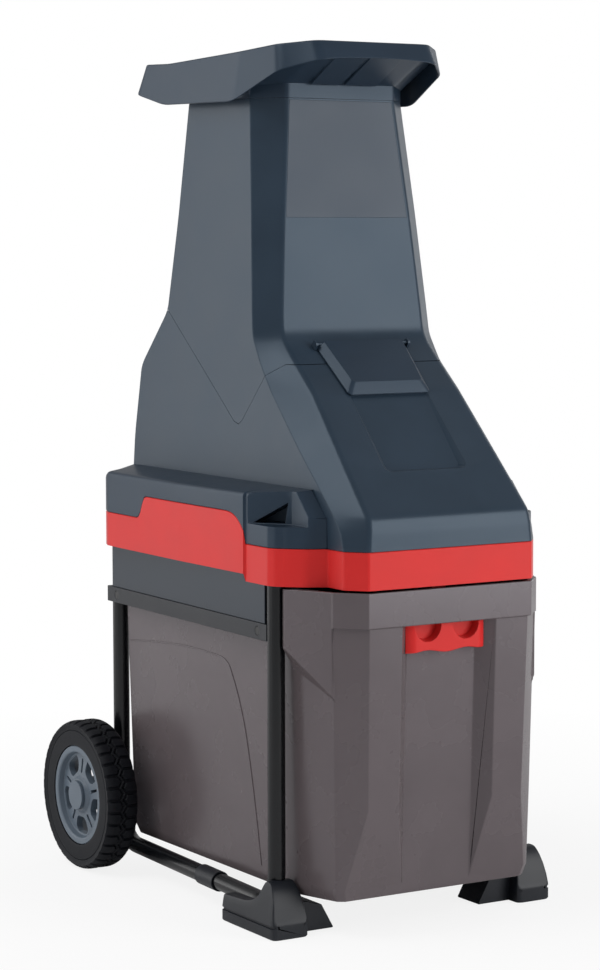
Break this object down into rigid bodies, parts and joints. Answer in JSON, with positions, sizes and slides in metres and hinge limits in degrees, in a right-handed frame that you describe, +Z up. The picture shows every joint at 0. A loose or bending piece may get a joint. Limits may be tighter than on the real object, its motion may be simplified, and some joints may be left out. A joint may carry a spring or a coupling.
{
  "type": "garden shredder",
  "caption": "Upright electric garden shredder: feed funnel over a geared cutting roller, tube frame on feet and wheels, pull-out collecting box with a sliding latch.",
  "frame": {"origin": "on the floor, under the middle of the machine's outline", "axes": "+X to the right seen from the front, +Y to the back, +Z up"},
  "size_m": [0.432, 0.597, 1],
  "materials": {
    "slate": "fine grain",
    "slate_panel": "fine grain",
    "slate_dark": "fine grain",
    "red": "satin",
    "green": "satin",
    "smoke": "smoky, slightly see-through",
    "guide": "satin",
    "black_plastic": "fine grain",
    "painted_tube": "powder coat",
    "tyre": "matt",
    "wheel_grey": "satin",
    "steel": "machined",
    "aluminium": "cast",
    "copper_pack": "wound and laminated"
  },
  "bodies": {
    "frame": {"hopper": "slate", "front_apron": "slate_panel", "feed_lip": "slate_dark", "lower_housing": "slate", "hatch_pin": "slate_dark", "base_skirt": "slate_dark", "red_band": "red", "base_plate": "black_plastic", "box_guide_left": "guide", "box_guide_right": "guide", "front_tube_left": "painted_tube", "front_tube_right": "painted_tube", "rear_tube_left": "painted_tube", "rear_tube_right": "painted_tube", "sleeve_left": "black_plastic", "sleeve_right": "black_plastic", "foot_left": "black_plastic", "foot_right": "black_plastic", "rail_left": "black_plastic", "rail_right": "black_plastic", "axle": "steel", "chamber_front_plate": "steel", "chamber_rear_plate": "steel", "feed_chute": "black_plastic", "bearing_front": "steel", "bearing_rear": "steel", "gearbox_shell": "aluminium", "motor_case": "aluminium", "motor_stator": "copper_pack", "capacitor": "aluminium", "screw_bracket": "steel", "control_panel": "black_plastic", "safety_switch": "black_plastic", "power_inlet": "black_plastic", "frame_screws": "painted_tube"},
    "wheel_left": {"tyre_left": "tyre", "wheel_rim_left": "wheel_grey", "hub_cap_left": "wheel_grey"},
    "wheel_right": {"tyre_right": "tyre", "wheel_rim_right": "wheel_grey", "hub_cap_right": "wheel_grey"},
    "box": {"collecting_box": "smoke"},
    "latch": {"box_latch": "red"},
    "rotor": {"motor_rotor": "steel", "cooling_fan": "black_plastic", "motor_pinion": "steel"},
    "idler": {"first_gear": "steel", "second_pinion": "steel"},
    "roller": {"cutting_roller": "steel", "roller_shaft": "steel", "roller_gear": "steel"},
    "adjuster": {"adjusting_screw": "steel", "adjusting_knob": "black_plastic"},
    "press": {"pressure_plate": "steel"},
    "flap": {"hatch": "slate_dark"},
    "start": {"start_button": "green"},
    "stop": {"stop_button": "red"},
    "selector": {"direction_selector": "black_plastic"},
    "reset": {"reset_button": "red"},
    "plunger": {"switch_plunger": "red"}
  },
  "joints": [
    {"name": "wheel_left_spin", "type": "hinge", "parent": "frame", "child": "wheel_left", "pos_m": [-0.196, 0.2065, 0.092], "axis": [1, 0, 0], "continuous": true},
    {"name": "wheel_right_spin", "type": "hinge", "parent": "frame", "child": "wheel_right", "pos_m": [0.196, 0.2065, 0.092], "axis": [1, 0, 0], "continuous": true},
    {"name": "box_slide", "type": "slide", "parent": "frame", "child": "box", "axis": [0, -1, 0], "range_m": [0, 0.33]},
    {"name": "latch_slide", "type": "slide", "parent": "box", "child": "latch", "axis": [0, 0, -1], "range_m": [0, 0.008], "stiffness_N_per_m": 300, "springref_m": -0.006},
    {"name": "rotor_spin", "type": "hinge", "parent": "frame", "child": "rotor", "pos_m": [0, 0.1415, 0.552], "axis": [0, 1, 0], "continuous": true},
    {"name": "idler_spin", "type": "hinge", "parent": "frame", "child": "idler", "pos_m": [0.04038, 0.1065, 0.51615], "axis": [0, 1, 0], "continuous": true},
    {"name": "roller_spin", "type": "hinge", "parent": "frame", "child": "roller", "pos_m": [-0.012, 0.0315, 0.476], "axis": [0, 1, 0], "continuous": true},
    {"name": "adjuster_turn", "type": "hinge", "parent": "frame", "child": "adjuster", "pos_m": [0.15, 0.0345, 0.455], "axis": [1, 0, 0], "range_deg": [0, 1440]},
    {"name": "press_slide", "type": "slide", "parent": "frame", "child": "press", "axis": [-1, 0, 0], "range_m": [0, 0.006]},
    {"name": "hatch_lift", "type": "hinge", "parent": "frame", "child": "flap", "pos_m": [0, -0.11385, 0.6558], "axis": [-1, 0, 0], "range_deg": [0, 100]},
    {"name": "start_press", "type": "slide", "parent": "frame", "child": "start", "axis": [0, 0.6464, -0.763], "range_m": [0, 0.004], "stiffness_N_per_m": 400, "springref_m": -0.003},
    {"name": "stop_press", "type": "slide", "parent": "frame", "child": "stop", "axis": [0, 0.6464, -0.763], "range_m": [0, 0.004], "stiffness_N_per_m": 400, "springref_m": -0.003},
    {"name": "selector_turn", "type": "hinge", "parent": "frame", "child": "selector", "pos_m": [0, -0.14268, 0.61093], "axis": [0, -0.6464, 0.763], "range_deg": [-35, 35]},
    {"name": "reset_press", "type": "slide", "parent": "frame", "child": "reset", "axis": [0, -0.994, -0.1095], "range_m": [0, 0.0025], "stiffness_N_per_m": 400, "springref_m": -0.003},
    {"name": "plunger_slide", "type": "slide", "parent": "frame", "child": "plunger", "axis": [0, 0, -1], "range_m": [0, 0.001]}
  ],
  "couplings": [
    {"joint": "idler_spin", "follows": "rotor_spin", "ratio": -0.2},
    {"joint": "roller_spin", "follows": "rotor_spin", "ratio": 0.028571},
    {"joint": "adjuster_turn", "follows": "press_slide", "rad_per_m": 4188.8},
    {"joint": "plunger_slide", "follows": "latch_slide", "ratio": 0.124}
  ]
}
